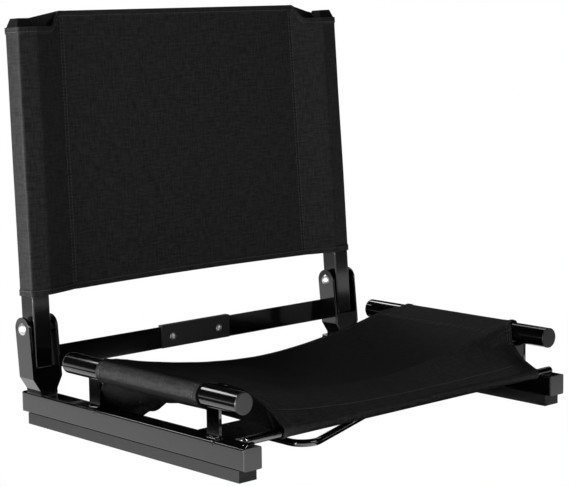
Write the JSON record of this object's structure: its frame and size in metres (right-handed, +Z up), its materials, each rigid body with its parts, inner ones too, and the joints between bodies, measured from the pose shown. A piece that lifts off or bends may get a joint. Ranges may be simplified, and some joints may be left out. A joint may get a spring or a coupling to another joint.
{
  "type": "stadium seat",
  "caption": "Folding stadium seat: steel rails on rubber pads carry a canvas sling seat, a hinged canvas backrest and a bench hook under the front.",
  "frame": {"origin": "on the floor, under the middle of the seat's bounding box", "axes": "+Z up, front towards -Y, +X to the right as seen from the front"},
  "size_m": [0.5642, 0.4414, 0.5055],
  "materials": {
    "frame_paint": "gloss black powder coat on steel",
    "cap_plastic": "moulded black polyethylene",
    "pad_rubber": "matt black rubber strip",
    "zinc_steel": "bright zinc-plated rivet",
    "spacer_nylon": "black nylon",
    "canvas": "plain-weave black polyester canvas"
  },
  "bodies": {
    "base": {"brace_channel": "frame_paint", "brace_rivets": "zinc_steel", "front_cross_plate": "frame_paint", "front_rod": "frame_paint", "hook_clip_rivets": "zinc_steel", "left_back_stop": "frame_paint", "left_brace_bar": "frame_paint", "left_front_standoff": "frame_paint", "left_hinge_bracket": "frame_paint", "left_hinge_pin": "zinc_steel", "left_hinge_spacers": "spacer_nylon", "left_hook_clip": "frame_paint", "left_pad": "pad_rubber", "left_rail": "frame_paint", "left_rail_front_cap": "cap_plastic", "left_rail_rear_cap": "cap_plastic", "left_rear_standoff": "frame_paint", "left_seat_tube": "frame_paint", "left_seat_tube_front_cap": "cap_plastic", "left_seat_tube_rear_cap": "cap_plastic", "right_back_stop": "frame_paint", "right_brace_bar": "frame_paint", "right_front_standoff": "frame_paint", "right_hinge_bracket": "frame_paint", "right_hinge_pin": "zinc_steel", "right_hinge_spacers": "spacer_nylon", "right_hook_clip": "frame_paint", "right_pad": "pad_rubber", "right_rail": "frame_paint", "right_rail_front_cap": "cap_plastic", "right_rail_rear_cap": "cap_plastic", "right_rear_standoff": "frame_paint", "right_seat_tube": "frame_paint", "right_seat_tube_front_cap": "cap_plastic", "right_seat_tube_rear_cap": "cap_plastic", "seat_canvas": "canvas"},
    "backrest": {"back_canvas": "canvas", "left_back_sleeve": "canvas", "left_upright": "frame_paint", "left_upright_foot_cap": "cap_plastic", "left_upright_top_cap": "cap_plastic", "right_back_sleeve": "canvas", "right_upright": "frame_paint", "right_upright_foot_cap": "cap_plastic", "right_upright_top_cap": "cap_plastic"},
    "hook": {"bench_hook": "frame_paint"}
  },
  "joints": [
    {"name": "back_fold", "type": "hinge", "parent": "base", "child": "backrest", "pos_m": [0, 0.18526, 0.1203], "axis": [1, 0, 0], "range_deg": [0, 93]},
    {"name": "hook_swing", "type": "hinge", "parent": "base", "child": "hook", "pos_m": [0, -0.12524, 0.03], "axis": [1, 0, 0], "range_deg": [0, 100]}
  ]
}
